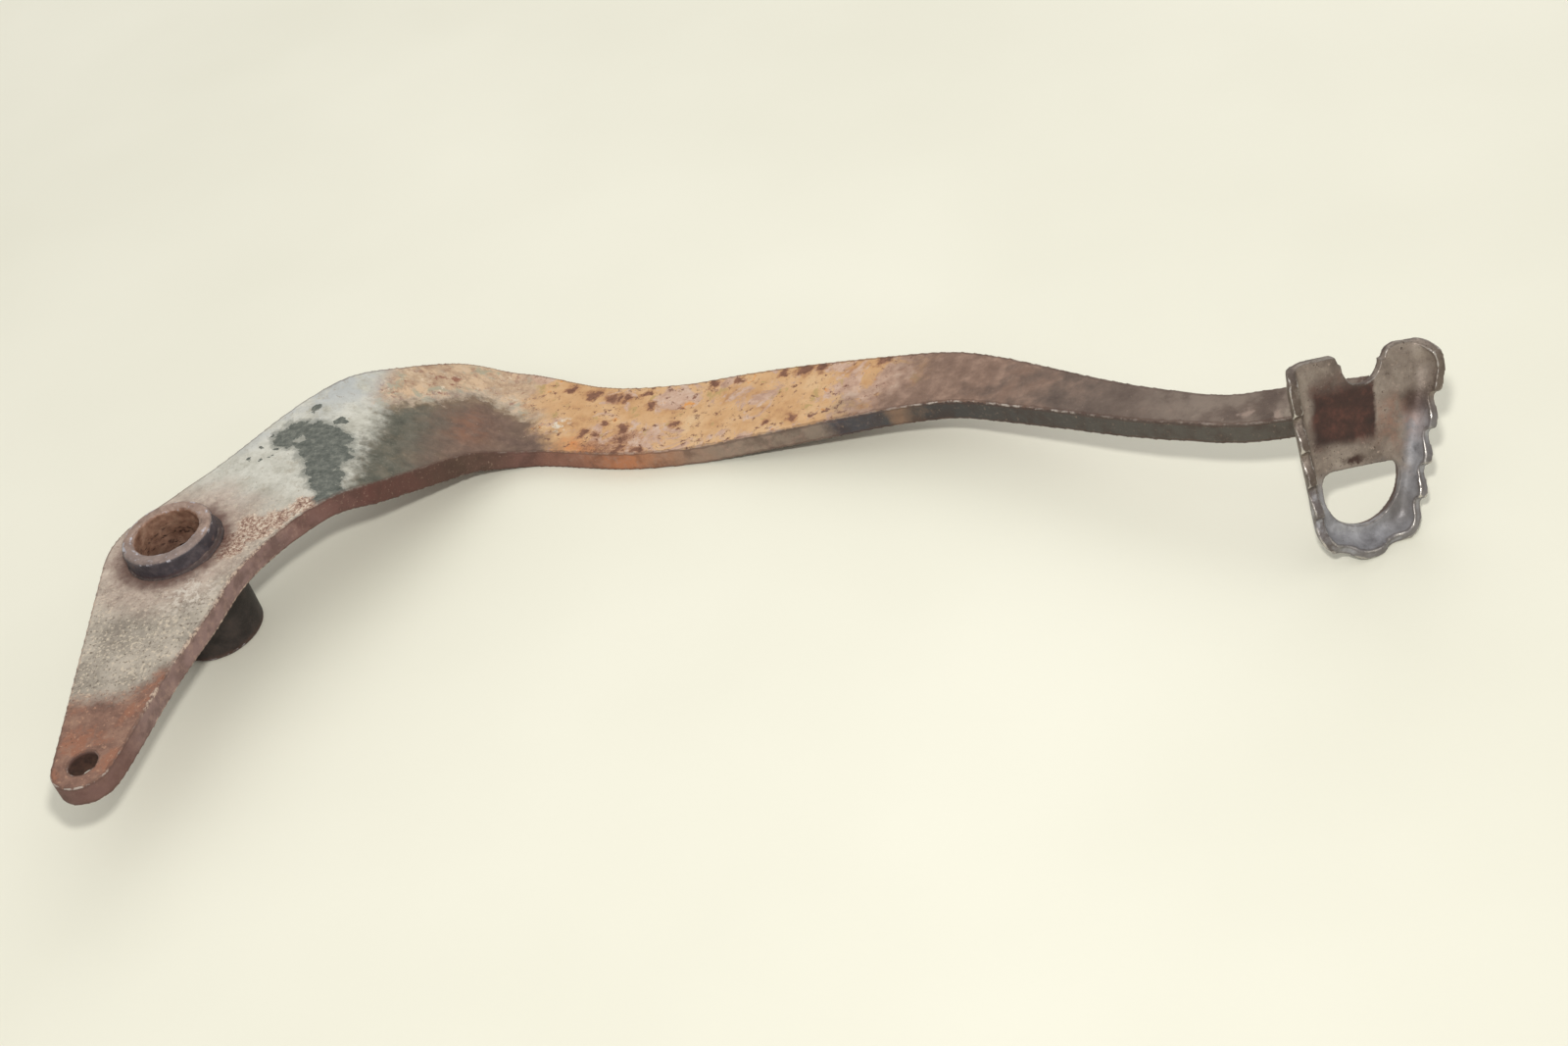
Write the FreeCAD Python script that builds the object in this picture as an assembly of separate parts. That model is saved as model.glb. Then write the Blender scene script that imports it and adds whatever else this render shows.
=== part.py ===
import FreeCAD, Part
import math
import os

# Foot lever of a motorcycle or quad: a bent steel plate arm, a plain pivot tube welded through its
# boss, and a serrated foot pad welded to its end. Millimetres. The lever lies as it rests on a
# table: the origin is the foot of the tube's axis, +Z runs up the tube, +X runs towards the pad.

V = FreeCAD.Vector
UP = V(0, 0, 1)

# Plate arm
PLATE_THICK = 6.0
BOSS_RADIUS = 20.0
TAIL_REACH = 76.5          # pivot axis to linkage hole
TAIL_SIDE = -0.8           # linkage hole's sideways place
TAIL_RADIUS = 8.3
LINK_HOLE_RADIUS = 3.75
BOSS_MIDDLE_ANGLE = 168.0  # where the boss's round passes, and where it runs into the arm's far edge
BOSS_LEAVE_ANGLE = 142.0
TAIL_LEAVE_ANGLE = -14.0   # where the tail's round runs into the near edge

# The two long edges of the arm seen from above, from the boss to the pad
FAR_EDGE = [
    (3, 32.5), (20, 54), (35, 68), (50, 82), (60, 88.5), (70, 89.5), (81, 86), (95, 78.5),
    (108, 74), (122, 72), (140, 69), (165, 63), (190, 55.5), (204, 50.5), (218, 42), (232, 31),
    (250, 17), (262, 9.3), (272, 4.8), (286, 0.5), (314, -7.5),
]
NEAR_EDGE = [
    (13.5, -45), (18.5, -26), (21.5, -13), (26, -4.5), (35, 6.5), (45, 15.5), (54, 27), (62, 38.5),
    (69, 47), (77, 51), (88, 50), (100, 46.5), (113, 43.5), (130, 42), (150, 39.5), (172, 36.5),
    (195, 32.5), (206, 29), (216, 23.5), (232, 14), (250, 3), (264, -4), (274, -7.5), (286, -11),
    (314, -19.5),
]

# Side view of the plate's middle line, as (distance along the lever, height), and its bends
BEND_SKEW = 10.0           # the bend lines lie this many degrees off square to the lever
ARM_PROFILE = [(-120, 28), (44, 28), (84, 3), (137, 3), (258, 24.6), (271, 25.2), (335, 41)]
BEND_RADII = [22, 22, 60, 45, 40]

# Pivot tube
TUBE_LENGTH = 36.8
TUBE_RADIUS = 12.5
BORE_RADIUS = 8.75
RIM_CHAMFER = 0.9
BORE_CHAMFER = 0.7

# Foot pad, in its own frame: across, up the face towards the notch, and out of the face
PAD_PLACE = V(301.4, -19.7, 14.65)
PAD_YAW = 25.0
PAD_DIP = 16.0
PAD_TIP = 20.0
SHEET_THICK = 2.3
TOP_LEFT = 31.2            # the lobes' top edge runs slightly uphill from left to right
TOP_RIGHT = 33.0
FOLD_SLOPE = 1.6           # the fold between floor and wall is a slope this wide and high
NOTCH_ACROSS = 0.7
NOTCH_RADIUS = 5.2
NOTCH_FLOOR = 24.0
NOTCH_MOUTH = 7.2
HOLE_RADIUS = 10.3
HOLE_CENTRE = 0.8
HOLE_TOP = 4.5
HOLE_CORNER = 2.6
RIM_HEIGHT = 4.2
TOOTH_PITCH = 8.4
TOOTH_DEPTH = 2.4
GAP_FLOOR = 0.32           # the floor and the mouth of a gap between teeth, as shares of the pitch
GAP_MOUTH = 0.72
GAP_CUT_START = 8.0        # the gap cutters start this far inside the wall and run this long
GAP_CUT_LENGTH = 14.0
FOOT_CUT_START = 6.0
SIDE_GAPS = [19.3, 10.6, 2.3, -5.6]
FOOT_GAPS = [-6.0, 6.0]
# The tray's outline at its floor and at its rim: half width on the hole's level, how fast the half
# width grows upwards, where the foot's corners lie, how far the middle of the foot bows out, and
# the radii of the two top corners
FLOOR_SHAPE = {"half": 15.4, "taper": 0.15, "corner_up": -10.8, "bow": 2.6, "left": 4.5, "right": 5.0}
RIM_SHAPE = {"half": 16.0, "taper": 0.19, "corner_up": -13.2, "bow": 4.8, "left": 5.5, "right": 7.5}
FOOT_CORNER = 4.0
FOOT_BOW_RADIUS = 14.0

# Welds
WELD_LEG = 3.8
PAD_WELD_RADIUS = 2.3
WELD_BELOW_NOTCH = 0.5      # the bead behind the pad stops this far below the notch


def interpolated(points, start_tangent, end_tangent):
    """Smooth edge through the points, with set directions at both ends."""
    curve = Part.BSplineCurve()
    curve.interpolate(Points=points, InitialTangent=start_tangent, FinalTangent=end_tangent)
    return curve.toShape()


def tangent_line(centre_a, radius_a, centre_b, radius_b, side):
    """The line that touches two circles on the same side: its two ends."""
    along = centre_b - centre_a
    turn = math.acos((radius_a - radius_b) / along.Length)
    angle = math.atan2(along.y, along.x) + side * turn
    normal = V(math.cos(angle), math.sin(angle), 0)
    return centre_a + normal * radius_a, centre_b + normal * radius_b


def plate_outline():
    """The plate seen from above: tail tip, boss and the two long edges."""
    boss = V(0, 0, 0)
    tail = V(TAIL_SIDE, -TAIL_REACH, 0)
    tail_left, boss_left = tangent_line(tail, TAIL_RADIUS, boss, BOSS_RADIUS, 1)
    far = [V(x, y, 0) for x, y in FAR_EDGE]
    near = [V(x, y, 0) for x, y in NEAR_EDGE]

    leave = math.radians(BOSS_LEAVE_ANGLE)
    boss_top = V(math.cos(leave), math.sin(leave), 0) * BOSS_RADIUS
    middle = math.radians(BOSS_MIDDLE_ANGLE)
    boss_mid = V(math.cos(middle), math.sin(middle), 0) * BOSS_RADIUS
    leave_dir = V(math.sin(leave), -math.cos(leave), 0)

    tail_angle = math.radians(TAIL_LEAVE_ANGLE)
    tail_right = tail + V(math.cos(tail_angle), math.sin(tail_angle), 0) * TAIL_RADIUS
    tail_dir = V(-math.sin(tail_angle), math.cos(tail_angle), 0)
    tail_tip = tail + V(-0.15, -1, 0).normalize() * TAIL_RADIUS

    far_end = (far[-1] - far[-2]).normalize()
    near_end = (near[-1] - near[-2]).normalize()
    edges = [
        Part.Arc(tail_right, tail_tip, tail_left).toShape(),
        Part.makeLine(tail_left, boss_left),
        Part.Arc(boss_left, boss_mid, boss_top).toShape(),
        interpolated([boss_top] + far, leave_dir, far_end),
        Part.makeLine(far[-1], near[-1]),
        interpolated([tail_right] + near, tail_dir, near_end),
    ]
    return Part.Wire(Part.__sortEdges__(edges))


def offset_path(points, distance):
    """The open path moved sideways by the distance, with its corners kept sharp."""
    moved = []
    for i, point in enumerate(points):
        before = points[max(i - 1, 0)]
        after = points[min(i + 1, len(points) - 1)]
        into = (point - before).normalize() if i else (after - point).normalize()
        out = (after - point).normalize() if i < len(points) - 1 else into
        side = V(-into.z, 0, into.x) + V(-out.z, 0, out.x)
        side.normalize()
        moved.append(point + side * (distance / side.dot(V(-into.z, 0, into.x))))
    return moved


def rounded_path(points, radii):
    """Straight runs joined by tangent arcs, one radius for each inner corner."""
    edges = []
    start = points[0]
    for i in range(1, len(points) - 1):
        into = (points[i] - points[i - 1]).normalize()
        out = (points[i + 1] - points[i]).normalize()
        half_turn = into.getAngle(out) / 2
        reach = radii[i - 1] * math.tan(half_turn)
        a = points[i] - into * reach
        b = points[i] + out * reach
        inward = (out - into).normalize()
        middle = points[i] + inward * (radii[i - 1] * (1 / math.cos(half_turn) - 1))
        edges.append(Part.makeLine(start, a))
        edges.append(Part.Arc(a, middle, b).toShape())
        start = b
    edges.append(Part.makeLine(start, points[-1]))
    return edges


def plate_side(path, offset):
    """One face of the bent plate, as edges: its bends keep the same centres."""
    radii = []
    for i, radius in enumerate(BEND_RADII):
        turn = (path[i + 1] - path[i]).cross(path[i + 2] - path[i + 1]).y
        radii.append(radius + math.copysign(offset, turn * offset))
    return rounded_path(offset_path(path, offset), radii)


def bent_strip():
    """The plate's side view, as wide as the whole lever."""
    path = [V(s, 0, z) for s, z in ARM_PROFILE]
    upper = plate_side(path, PLATE_THICK / 2)
    lower = plate_side(path, -PLATE_THICK / 2)
    ends = []
    for i in (0, -1):
        side = 0 if i == 0 else 1
        ends.append(Part.makeLine(upper[i].Vertexes[side].Point, lower[i].Vertexes[side].Point))
    face = Part.Face(Part.Wire(Part.__sortEdges__(upper + lower + ends)))
    width = 400
    strip = face.extrude(V(0, width, 0))
    strip.translate(V(0, -width / 2, 0))
    strip.rotate(V(0, 0, 0), UP, BEND_SKEW)
    return strip


def pad_placement():
    """From the pad's own frame to the lever's frame."""
    stand = FreeCAD.Rotation(V(1, 0, 0), 90 - PAD_TIP)
    dip = FreeCAD.Rotation(V(0, 1, 0), PAD_DIP)
    yaw = FreeCAD.Rotation(UP, PAD_YAW)
    return FreeCAD.Placement(PAD_PLACE, yaw.multiply(dip).multiply(stand))


def arm_plate():
    """The bent plate with the tube's hole and the linkage hole, its end mitred to the pad's back."""
    height = 60
    blank = Part.Face(plate_outline()).extrude(UP * height)
    plate = blank.common(bent_strip())
    plate = plate.cut(Part.makeCylinder(TUBE_RADIUS, height))
    plate = plate.cut(Part.makeCylinder(LINK_HOLE_RADIUS, height, V(TAIL_SIDE, -TAIL_REACH, 0)))
    size = 120
    front = Part.makeBox(size, size, size, V(-size / 2, -size / 2, -SHEET_THICK))
    front.Placement = pad_placement().multiply(front.Placement)
    return plate.cut(front)


def pivot_tube():
    """Tube with chamfered rims outside and a chamfered bore on top."""
    tube = Part.makeCylinder(TUBE_RADIUS, TUBE_LENGTH)
    tube = tube.cut(Part.makeCylinder(BORE_RADIUS, TUBE_LENGTH))
    circles = [e for e in tube.Edges if isinstance(e.Curve, Part.Circle)]
    outer = [e for e in circles if abs(e.Curve.Radius - TUBE_RADIUS) < 0.01]
    tube = tube.makeChamfer(RIM_CHAMFER, outer)
    circles = [e for e in tube.Edges if isinstance(e.Curve, Part.Circle)]
    inner = [e for e in circles if abs(e.Curve.Radius - BORE_RADIUS) < 0.01]
    return tube.makeChamfer(BORE_CHAMFER, [e for e in inner if e.CenterOfMass.z > TUBE_LENGTH / 2])


def rounded_polygon(corners, level):
    """A closed outline at one level; each corner is (across, up, radius)."""
    points = [V(x, y, level) for x, y, _ in corners]
    count = len(points)
    arcs = []
    for i, point in enumerate(points):
        into = (point - points[i - 1]).normalize()
        out = (points[(i + 1) % count] - point).normalize()
        half_turn = into.getAngle(out) / 2
        reach = corners[i][2] * math.tan(half_turn)
        inward = (out - into).normalize()
        middle = point + inward * (corners[i][2] * (1 / math.cos(half_turn) - 1))
        arcs.append((point - into * reach, middle, point + out * reach))
    edges = []
    for i, (a, middle, b) in enumerate(arcs):
        edges.append(Part.Arc(a, middle, b).toShape())
        edges.append(Part.makeLine(b, arcs[(i + 1) % count][0]))
    return Part.Wire(edges)


def tray_outline(shape, level, shrink, extra_top):
    """Outline of the pad at one level, smaller all round by shrink, with its top edge moved up."""
    low = shape["corner_up"] + shrink
    left, right = TOP_LEFT + extra_top, TOP_RIGHT + extra_top
    half = shape["half"] - shrink
    foot = half + shape["taper"] * low
    return rounded_polygon([
        (-foot, low, FOOT_CORNER), (0, low - shape["bow"], FOOT_BOW_RADIUS), (foot, low, FOOT_CORNER),
        (half + shape["taper"] * right, right, shape["right"]),
        (-half - shape["taper"] * left, left, shape["left"]),
    ], level)


def tray_block(shape_levels, extra_top):
    """Solid through the outlines given as (shape, level, shrink), from the floor to the rim."""
    outlines = [tray_outline(shape, level, shrink, extra_top) for shape, level, shrink in shape_levels]
    return Part.makeLoft(outlines, True, True)


def notch_cutter():
    """Rounded notch in the top of the pad."""
    centre = NOTCH_FLOOR + NOTCH_RADIUS
    depth = 30
    cutter = Part.makeCylinder(NOTCH_RADIUS, depth, V(0, centre, -depth / 2))
    corners = [
        V(-NOTCH_RADIUS, centre, 0), V(NOTCH_RADIUS, centre, 0),
        V(NOTCH_MOUTH, TOP_RIGHT + 1, 0), V(-NOTCH_MOUTH, TOP_RIGHT + 1, 0),
    ]
    mouth = Part.Face(Part.makePolygon(corners + corners[:1])).extrude(UP * depth)
    mouth.translate(V(0, 0, -depth / 2))
    cutter = cutter.fuse(mouth)
    cutter.translate(V(NOTCH_ACROSS, 0, 0))
    return cutter


def hole_cutter():
    """D-shaped hole: straight top with small corners, round below."""
    depth = 30
    low = V(0, HOLE_CENTRE - HOLE_RADIUS, 0)
    right = V(HOLE_RADIUS, HOLE_CENTRE, 0)
    left = V(-HOLE_RADIUS, HOLE_CENTRE, 0)
    inset = HOLE_CORNER * (1 - math.sqrt(0.5))
    reach = HOLE_RADIUS - HOLE_CORNER
    edges = [
        Part.Arc(left, low, right).toShape(),
        Part.makeLine(right, V(HOLE_RADIUS, HOLE_TOP - HOLE_CORNER, 0)),
        Part.Arc(V(HOLE_RADIUS, HOLE_TOP - HOLE_CORNER, 0),
                 V(HOLE_RADIUS - inset, HOLE_TOP - inset, 0),
                 V(reach, HOLE_TOP, 0)).toShape(),
        Part.makeLine(V(reach, HOLE_TOP, 0), V(-reach, HOLE_TOP, 0)),
        Part.Arc(V(-reach, HOLE_TOP, 0),
                 V(-HOLE_RADIUS + inset, HOLE_TOP - inset, 0),
                 V(-HOLE_RADIUS, HOLE_TOP - HOLE_CORNER, 0)).toShape(),
        Part.makeLine(V(-HOLE_RADIUS, HOLE_TOP - HOLE_CORNER, 0), left),
    ]
    cutter = Part.Face(Part.Wire(edges)).extrude(UP * depth)
    cutter.translate(V(0, 0, -depth / 2))
    return cutter


def tooth_gap():
    """Sloping gap between two teeth, cut down from the rim, along X."""
    floor = RIM_HEIGHT - TOOTH_DEPTH
    half_floor = TOOTH_PITCH * GAP_FLOOR / 2
    half_mouth = TOOTH_PITCH * GAP_MOUTH / 2
    above = RIM_HEIGHT + 2
    spread = half_mouth + (half_mouth - half_floor) * (above - RIM_HEIGHT) / TOOTH_DEPTH
    corners = [
        V(0, -half_floor, floor), V(0, half_floor, floor),
        V(0, spread, above), V(0, -spread, above),
    ]
    return Part.Face(Part.makePolygon(corners + corners[:1])).extrude(V(GAP_CUT_LENGTH, 0, 0))


def tooth_gaps():
    """All the gaps in the side walls and the foot wall."""
    gaps = []
    for up in SIDE_GAPS:
        for side in (1, -1):
            gap = tooth_gap()
            gap.translate(V(RIM_SHAPE["half"] + RIM_SHAPE["taper"] * up - GAP_CUT_START, up, 0))
            if side < 0:
                gap.rotate(V(0, up, 0), UP, 180)
            gaps.append(gap)
    for across in FOOT_GAPS:
        gap = tooth_gap()
        gap.rotate(V(0, 0, 0), UP, -90)
        gap.translate(V(across, RIM_SHAPE["corner_up"] + FOOT_CUT_START, 0))
        gaps.append(gap)
    return gaps


def foot_pad():
    """The pressed tray, with its notch, hole and teeth, in its place on the lever."""
    outer = tray_block([
        (FLOOR_SHAPE, -SHEET_THICK, FOLD_SLOPE),
        (FLOOR_SHAPE, FOLD_SLOPE - SHEET_THICK, 0),
        (RIM_SHAPE, RIM_HEIGHT, 0),
    ], 0)
    hollow = tray_block([(FLOOR_SHAPE, 0, SHEET_THICK), (RIM_SHAPE, RIM_HEIGHT, SHEET_THICK)], 12)
    pad = outer.cut(hollow)
    for cutter in [notch_cutter(), hole_cutter()] + tooth_gaps():
        pad = pad.cut(cutter)
    pad.Placement = pad_placement()
    return pad


def pivot_weld():
    """Fillet bead round the tube under the plate."""
    plate_under = ARM_PROFILE[0][1] - PLATE_THICK / 2
    a = V(TUBE_RADIUS, 0, plate_under)
    b = V(TUBE_RADIUS + WELD_LEG, 0, plate_under)
    c = V(TUBE_RADIUS, 0, plate_under - WELD_LEG)
    swell = V(TUBE_RADIUS + WELD_LEG * 0.58, 0, plate_under - WELD_LEG * 0.58)
    section = Part.Wire([Part.makeLine(a, b), Part.Arc(b, swell, c).toShape(), Part.makeLine(c, a)])
    return Part.Face(section).revolve(V(0, 0, 0), UP, 360)


def pad_weld(arm, pad):
    """Round bead along the joint of the arm's mitred end with the pad's back."""
    normal = pad_placement().Rotation.multVec(UP)
    back = PAD_PLACE.dot(normal) - SHEET_THICK
    mitres = [f for f in arm.Faces
              if abs(f.CenterOfMass.dot(normal) - back) < 0.01 and abs(f.normalAt(0, 0).dot(normal)) > 0.999]
    runs = []
    for edge in mitres[0].OuterWire.Edges:
        start, end = edge.Vertexes[0].Point, edge.Vertexes[-1].Point
        runs.append(Part.makeCylinder(PAD_WELD_RADIUS, (end - start).Length, start, end - start))
        runs.append(Part.makeSphere(PAD_WELD_RADIUS, start))
        runs.append(Part.makeSphere(PAD_WELD_RADIUS, end))
    bead = runs[0].fuse(runs[1:])
    size = 60
    above_notch = Part.makeBox(size, size, size, V(-size / 2, NOTCH_FLOOR - WELD_BELOW_NOTCH, -size / 2))
    above_notch.Placement = pad_placement().multiply(above_notch.Placement)
    return bead.cut([arm, pad, above_notch])


def export(shape, name):
    """Write one piece to its STEP file and say how big it is."""
    solids = shape.Solids
    whole = solids[0] if len(solids) == 1 else Part.makeCompound(solids)
    box = whole.BoundBox
    print(name, "solids", len(solids), "valid", whole.isValid(), "volume", round(whole.Volume, 1),
          "box", [round(v, 1) for v in (box.XMin, box.YMin, box.ZMin, box.XMax, box.YMax, box.ZMax)])
    whole.exportStep("parts/%s.step" % name)


os.makedirs("parts", exist_ok=True)
arm = arm_plate()
pad = foot_pad()
export(arm, "arm_plate")
export(pivot_tube(), "pivot_tube")
export(pad, "foot_pad")
export(pivot_weld(), "pivot_weld")
export(pad_weld(arm, pad), "pad_weld")
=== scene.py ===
import math

import bpy
import numpy as np
from mathutils import Matrix, Vector, noise


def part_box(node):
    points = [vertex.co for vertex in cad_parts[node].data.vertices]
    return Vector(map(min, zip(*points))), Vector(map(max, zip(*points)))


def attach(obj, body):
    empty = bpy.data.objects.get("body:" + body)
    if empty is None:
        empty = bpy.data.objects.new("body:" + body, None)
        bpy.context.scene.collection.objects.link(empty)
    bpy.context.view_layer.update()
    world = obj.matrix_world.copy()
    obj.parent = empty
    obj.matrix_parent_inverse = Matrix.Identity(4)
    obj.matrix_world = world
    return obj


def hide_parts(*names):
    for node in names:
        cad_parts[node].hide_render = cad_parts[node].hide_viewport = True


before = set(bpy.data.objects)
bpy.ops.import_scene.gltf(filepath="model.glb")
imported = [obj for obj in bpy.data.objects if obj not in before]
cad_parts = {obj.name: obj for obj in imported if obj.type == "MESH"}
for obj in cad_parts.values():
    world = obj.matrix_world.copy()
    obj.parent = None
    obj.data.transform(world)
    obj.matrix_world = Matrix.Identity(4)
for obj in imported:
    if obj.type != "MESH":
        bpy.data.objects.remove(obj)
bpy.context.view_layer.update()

# Metres in Blender, millimetres for the names below; the frame is the CAD's: the tube's axis is Z
MM = 0.001
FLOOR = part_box("pivot_tube")[0].z
TUBE_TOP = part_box("pivot_tube")[1].z / MM
TUBE_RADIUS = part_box("pivot_tube")[1].x / MM
BORE_RADIUS = 8.75
PLATE_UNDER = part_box("pivot_weld")[1].z / MM
PLATE_THICK = 6.0
PLATE_TOP = PLATE_UNDER + PLATE_THICK
TAIL_HOLE = Vector((-0.8, -76.5, 0.0))
TAIL_HOLE_RADIUS = 3.75

# The foot pad's own frame: across, up the face towards the notch, out of the face
PAD_PLACE = Vector((301.4, -19.7, 14.65))
PAD_TURNS = (("Z", 25.0), ("Y", 16.0), ("X", 70.0))
SHEET_THICK = 2.3
PAD_TOP_LEFT = 31.2
PAD_TOP_RIGHT = 32.6
FLOOR_HALF = 10.9
FLOOR_TAPER = 0.15
FLOOR_FOOT = -8.8
FLOOR_BOW = 2.4
RIM_HALF = 13.35
RIM_TAPER = 0.19
RIM_FOOT = -11.4
RIM_BOW = 4.1
RIM_HEIGHT = 4.3
SIDE_TURN = 84.0
FOOT_TURN = 58.0
SIDE_GAPS = (19.3, 10.6, 2.3, -5.6)
FOOT_GAPS = (-6.0, 6.0)
# Each gap: how far it opens above and below its place, and its share of the wall
SIDE_GAP = (1.5, 5.4, 0.24)
FOOT_GAP = (4.2, 4.2, 0.17)
NOTCH_ACROSS = 0.7
NOTCH_RADIUS = 5.2
NOTCH_FLOOR = 24.0
NOTCH_MOUTH = 6.2
HOLE_RADIUS = 10.3
HOLE_CENTRE = 0.8
HOLE_TOP = 4.5
HOLE_CORNER = 2.6
CUT_REACH = 12.0           # the notch and hole cutters run this far in front and behind

# Camera: where it stands, and the directions to its right and behind it
CAMERA_PLACE = Vector((0.2813, -0.4264, 0.3697))
CAMERA_RIGHT = Vector((0.9681, 0.0731, -0.2395))
CAMERA_BACK = Vector((0.2122, -0.7475, 0.6294))
SENSOR_WIDTH = 36.0
LENS = 51.75

# Lights: places and widths in metres, watts, and the strength of the even surround
LOOKED_AT = Vector((0.15, 0.0, 0.0))
WARM_WHITE = (1.0, 0.99, 0.955)
KEY_PLACE = Vector((0.275, -0.34, 0.40))
KEY_WIDTH = 0.035
KEY_POWER = 5.3
FILL_PLACE = Vector((0.2, 1.1, 1.0))
FILL_WIDTH = 1.2
FILL_POWER = 3.0
SURROUND = 0.68
FLOOR_REACH = 6.0


# ---------------------------------------------------------------- meshes

def pad_matrix():
    """From the pad's frame, in millimetres, to the lever's frame, in metres."""
    turn = Matrix.Identity(4)
    for axis, degrees in PAD_TURNS:
        turn = turn @ Matrix.Rotation(math.radians(degrees), 4, axis)
    return Matrix.Scale(MM, 4) @ Matrix.Translation(PAD_PLACE) @ turn


def new_piece(name, points, faces):
    """A mesh object from points in metres."""
    mesh = bpy.data.meshes.new(name)
    mesh.from_pydata([tuple(p) for p in points], [], faces)
    mesh.validate()
    mesh.update()
    piece = bpy.data.objects.new(name, mesh)
    bpy.context.collection.objects.link(piece)
    return piece


def applied(piece):
    """The piece with its modifiers made permanent."""
    graph = bpy.context.evaluated_depsgraph_get()
    mesh = bpy.data.meshes.new_from_object(piece.evaluated_get(graph))
    piece.modifiers.clear()
    piece.data = mesh
    return piece


def worn(piece, voxel, rounds):
    """Mesh the piece evenly and finely on its own surface, and wear its sharp edges round."""
    pattern = bpy.data.objects.new("pattern", piece.data.copy())
    bpy.context.collection.objects.link(pattern)
    grid = piece.modifiers.new("grid", "REMESH")
    grid.mode = "VOXEL"
    grid.voxel_size = voxel * MM
    grid.use_smooth_shade = True
    snug = piece.modifiers.new("snug", "SHRINKWRAP")
    snug.target = pattern
    snug.wrap_method = "NEAREST_SURFACEPOINT"
    soft = piece.modifiers.new("soft", "SMOOTH")
    soft.factor = 0.5
    soft.iterations = rounds
    applied(piece)
    bpy.data.objects.remove(pattern)
    return piece


def copy_of(node, name):
    """A free copy of a CAD node's mesh."""
    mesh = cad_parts[node].data.copy()
    mesh.materials.clear()
    piece = bpy.data.objects.new(name, mesh)
    bpy.context.collection.objects.link(piece)
    return piece


def places(mesh):
    flat = np.empty(len(mesh.vertices) * 3)
    mesh.vertices.foreach_get("co", flat)
    return flat.reshape(-1, 3)


def normals(mesh):
    flat = np.empty(len(mesh.vertices) * 3)
    mesh.vertices.foreach_get("normal", flat)
    return flat.reshape(-1, 3)


def relief(piece, height):
    """Move each vertex along its normal by height(place, normal), all in millimetres."""
    mesh = piece.data
    spots = places(mesh) / MM
    outs = normals(mesh)
    lift = np.array([height(Vector(p), Vector(n)) for p, n in zip(spots, outs)])
    spots += outs * lift[:, None]
    spots[:, 2] = np.maximum(spots[:, 2], FLOOR / MM)
    mesh.vertices.foreach_set("co", (spots * MM).ravel())
    mesh.update()


def mark_edges(piece, rounds):
    """Store how far each vertex stands out of its surroundings, in millimetres, as 'edge'."""
    mesh = piece.data
    count = len(mesh.vertices)
    spots = places(mesh)
    ends = np.empty(len(mesh.edges) * 2, dtype=np.int64)
    mesh.edges.foreach_get("vertices", ends)
    ends = ends.reshape(-1, 2)
    one = np.concatenate([ends[:, 0], ends[:, 1]])
    other = np.concatenate([ends[:, 1], ends[:, 0]])
    degree = np.maximum(np.bincount(one, minlength=count), 1)
    soft = spots.copy()
    for _ in range(rounds):
        soft = np.stack([np.bincount(one, weights=soft[other, k], minlength=count) / degree
                         for k in range(3)], axis=1)
    lift = ((spots - soft) * normals(mesh)).sum(axis=1) / MM
    layer = mesh.attributes.new("edge", "FLOAT", "POINT")
    layer.data.foreach_set("value", lift.astype(np.float32))


def fractal(place, size, octaves, seed):
    """Smooth noise between about -1 and 1, with features of the given size in millimetres."""
    return noise.fractal(place / size + Vector((seed, seed * 0.37, -seed)), 0.8, 2.1, octaves)


def smooth(value, low, high):
    t = min(max((value - low) / (high - low), 0.0), 1.0)
    return t * t * (3 - 2 * t)


# ---------------------------------------------------------------- node trees

def linear(red, green, blue):
    """A colour given as it looks, 0 to 255, as the shader's linear values."""
    parts = []
    for level in (red, green, blue):
        c = level / 255
        parts.append(c / 12.92 if c <= 0.04045 else ((c + 0.055) / 1.055) ** 2.4)
    return (*parts, 1.0)


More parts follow.
